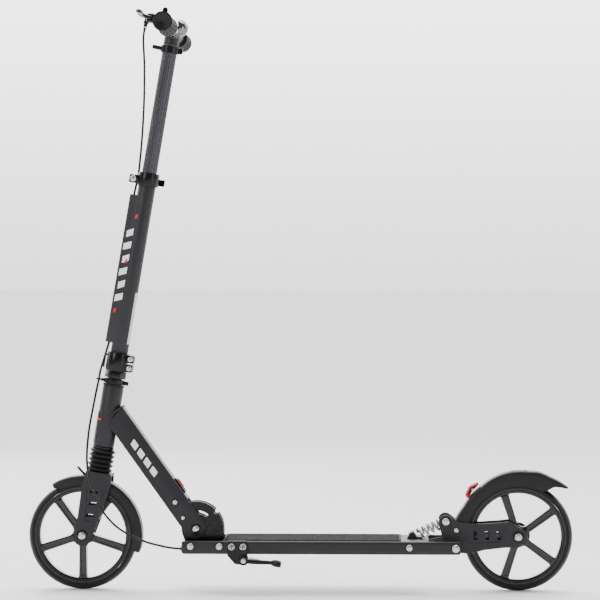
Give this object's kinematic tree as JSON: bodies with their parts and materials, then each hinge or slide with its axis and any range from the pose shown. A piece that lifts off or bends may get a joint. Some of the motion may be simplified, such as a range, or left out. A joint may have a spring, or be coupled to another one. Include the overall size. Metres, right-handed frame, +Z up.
{
  "type": "kick scooter",
  "caption": "Folding two-wheel kick scooter with front and rear suspension, height-adjustable handlebar, hand-lever rear brake, foot brake mudguard and kickstand.",
  "frame": {"origin": "on the ground, midway between the two axles, in the scooter's middle plane", "axes": "+Z up, +X towards the rear wheel, -Y towards the rider's left"},
  "size_m": [1, 0.4524, 1.0648],
  "materials": {
    "frame_paint": "matte anthracite powder coat over aluminium alloy",
    "aluminium_tube": "dark anodised, fluted lengthwise",
    "black_metal": "satin black paint",
    "black_plastic": "glossy black moulded",
    "tyre": "smooth black polyurethane",
    "rubber": "matte black",
    "cable_sleeve": "black cable sleeve",
    "grip_surface": "coarse non-slip texture",
    "red_plastic": "smooth",
    "silver_lever": "satin dark anodised",
    "bell_chrome": "polished dark chrome",
    "zinc_steel": "zinc plated",
    "spring_steel": "oiled steel"
  },
  "bodies": {
    "deck": {"deck": "frame_paint", "grip_mat": "grip_surface", "fold_bracket": "black_metal", "fold_pivot_bolt": "zinc_steel", "bracket_bolt_front": "zinc_steel", "bracket_bolt_rear": "zinc_steel", "kickstand_bracket": "black_metal", "swingarm_pivot_bolt": "zinc_steel", "brake_cable_rear": "cable_sleeve"},
    "neck": {"neck_frame": "frame_paint", "release_housing": "black_metal", "latch_guide_bolt": "zinc_steel", "stop_pin": "zinc_steel", "lower_headset_cup": "black_metal", "upper_headset_cup": "black_metal", "cable_guide": "black_plastic", "brake_cable_neck": "cable_sleeve"},
    "latch": {"release_button": "red_plastic", "lock_pin": "zinc_steel"},
    "stem": {"steerer_tube": "zinc_steel", "lower_stem": "frame_paint", "stem_clamp": "black_metal", "clamp_bolt_upper": "zinc_steel", "clamp_bolt_lower": "zinc_steel", "qr_collar": "black_metal", "qr_skewer": "zinc_steel", "brake_cable_stem": "cable_sleeve", "bellows": "rubber"},
    "fork": {"fork": "frame_paint", "fork_slider": "zinc_steel", "front_spring": "spring_steel", "front_mudguard": "black_plastic", "front_axle": "zinc_steel"},
    "front_wheel": {"front_tyre": "tyre", "front_rim": "black_plastic", "front_bearing_left": "zinc_steel", "front_bearing_right": "zinc_steel"},
    "handlebar": {"handlebar": "aluminium_tube", "grip_left": "rubber", "grip_right": "rubber", "brake_perch": "black_metal", "bell": "bell_chrome", "parking_collar": "black_metal", "brake_cable_upper": "cable_sleeve"},
    "qr_lever": {"qr_lever": "black_metal"},
    "brake_lever": {"brake_lever": "silver_lever"},
    "bell_lever": {"bell_lever": "bell_chrome"},
    "kickstand": {"kickstand": "black_metal"},
    "swingarm": {"swingarm": "frame_paint", "spring_bolt": "zinc_steel", "rear_spring": "spring_steel", "mudguard_bolt": "zinc_steel", "rear_axle": "zinc_steel", "brake_housing": "black_metal"},
    "rear_wheel": {"rear_tyre": "tyre", "rear_rim": "black_plastic", "rear_bearing_left": "zinc_steel", "rear_bearing_right": "zinc_steel"},
    "rear_mudguard": {"rear_mudguard": "black_plastic", "mudguard_catch": "red_plastic"}
  },
  "joints": [
    {"name": "fold", "type": "hinge", "parent": "deck", "child": "neck", "pos_m": [-0.1906, 0, 0.112], "axis": [0, 1, 0], "range_deg": [0, 85], "deforming": ["brake_cable_neck"]},
    {"name": "release_slide", "type": "slide", "parent": "neck", "child": "latch", "axis": [-0.5807, 0, 0.8141], "range_m": [-0.006, 0], "stiffness_N_per_m": 400, "springref_m": -0.01},
    {"name": "steering", "type": "hinge", "parent": "neck", "child": "stem", "pos_m": [-0.4073, 0, 0], "axis": [0.1668, 0, 0.986], "range_deg": [-70, 70], "deforming": ["brake_cable_stem"]},
    {"name": "fork_travel", "type": "slide", "parent": "stem", "child": "fork", "axis": [0.1668, 0, 0.986], "range_m": [0, 0.02], "stiffness_N_per_m": 12000, "springref_m": -0.006, "deforming": ["front_spring", "bellows"]},
    {"name": "front_spin", "type": "hinge", "parent": "fork", "child": "front_wheel", "pos_m": [-0.4, 0, 0.1], "axis": [0, 1, 0], "continuous": true},
    {"name": "height_adjust", "type": "slide", "parent": "stem", "child": "handlebar", "axis": [0.1668, 0, 0.986], "range_m": [-0.18, 0], "deforming": ["brake_cable_upper"]},
    {"name": "qr_lever_swing", "type": "hinge", "parent": "stem", "child": "qr_lever", "pos_m": [-0.30589, 0.0178, 0.75668], "axis": [0.1668, 0, 0.986], "range_deg": [0, 120]},
    {"name": "brake_squeeze", "type": "hinge", "parent": "handlebar", "child": "brake_lever", "pos_m": [-0.2643, -0.093, 1.04336], "axis": [0.1668, 0, 0.986], "range_deg": [0, 12], "stiffness_Nm_per_rad": 1, "springref_deg": -11.46},
    {"name": "bell_press", "type": "hinge", "parent": "handlebar", "child": "bell_lever", "pos_m": [-0.23316, -0.0645, 1.04154], "axis": [0, 1, 0], "range_deg": [0, 18], "stiffness_Nm_per_rad": 0.05, "springref_deg": -11.46},
    {"name": "kickstand_swing", "type": "hinge", "parent": "deck", "child": "kickstand", "pos_m": [-0.1, -0.076, 0.061], "axis": [0, 1, 0], "range_deg": [0, 52]},
    {"name": "rear_suspension", "type": "hinge", "parent": "deck", "child": "swingarm", "pos_m": [0.285, 0, 0.0825], "axis": [0, 1, 0], "range_deg": [-8, 0], "stiffness_Nm_per_rad": 220, "springref_deg": 2.86, "deforming": ["rear_spring", "brake_cable_rear"]},
    {"name": "rear_spin", "type": "hinge", "parent": "swingarm", "child": "rear_wheel", "pos_m": [0.4, 0, 0.1], "axis": [0, 1, 0], "continuous": true},
    {"name": "foot_brake", "type": "hinge", "parent": "swingarm", "child": "rear_mudguard", "pos_m": [0.2865, 0, 0.1119], "axis": [0, 1, 0], "range_deg": [0, 2], "stiffness_Nm_per_rad": 12, "springref_deg": -4.58}
  ]
}
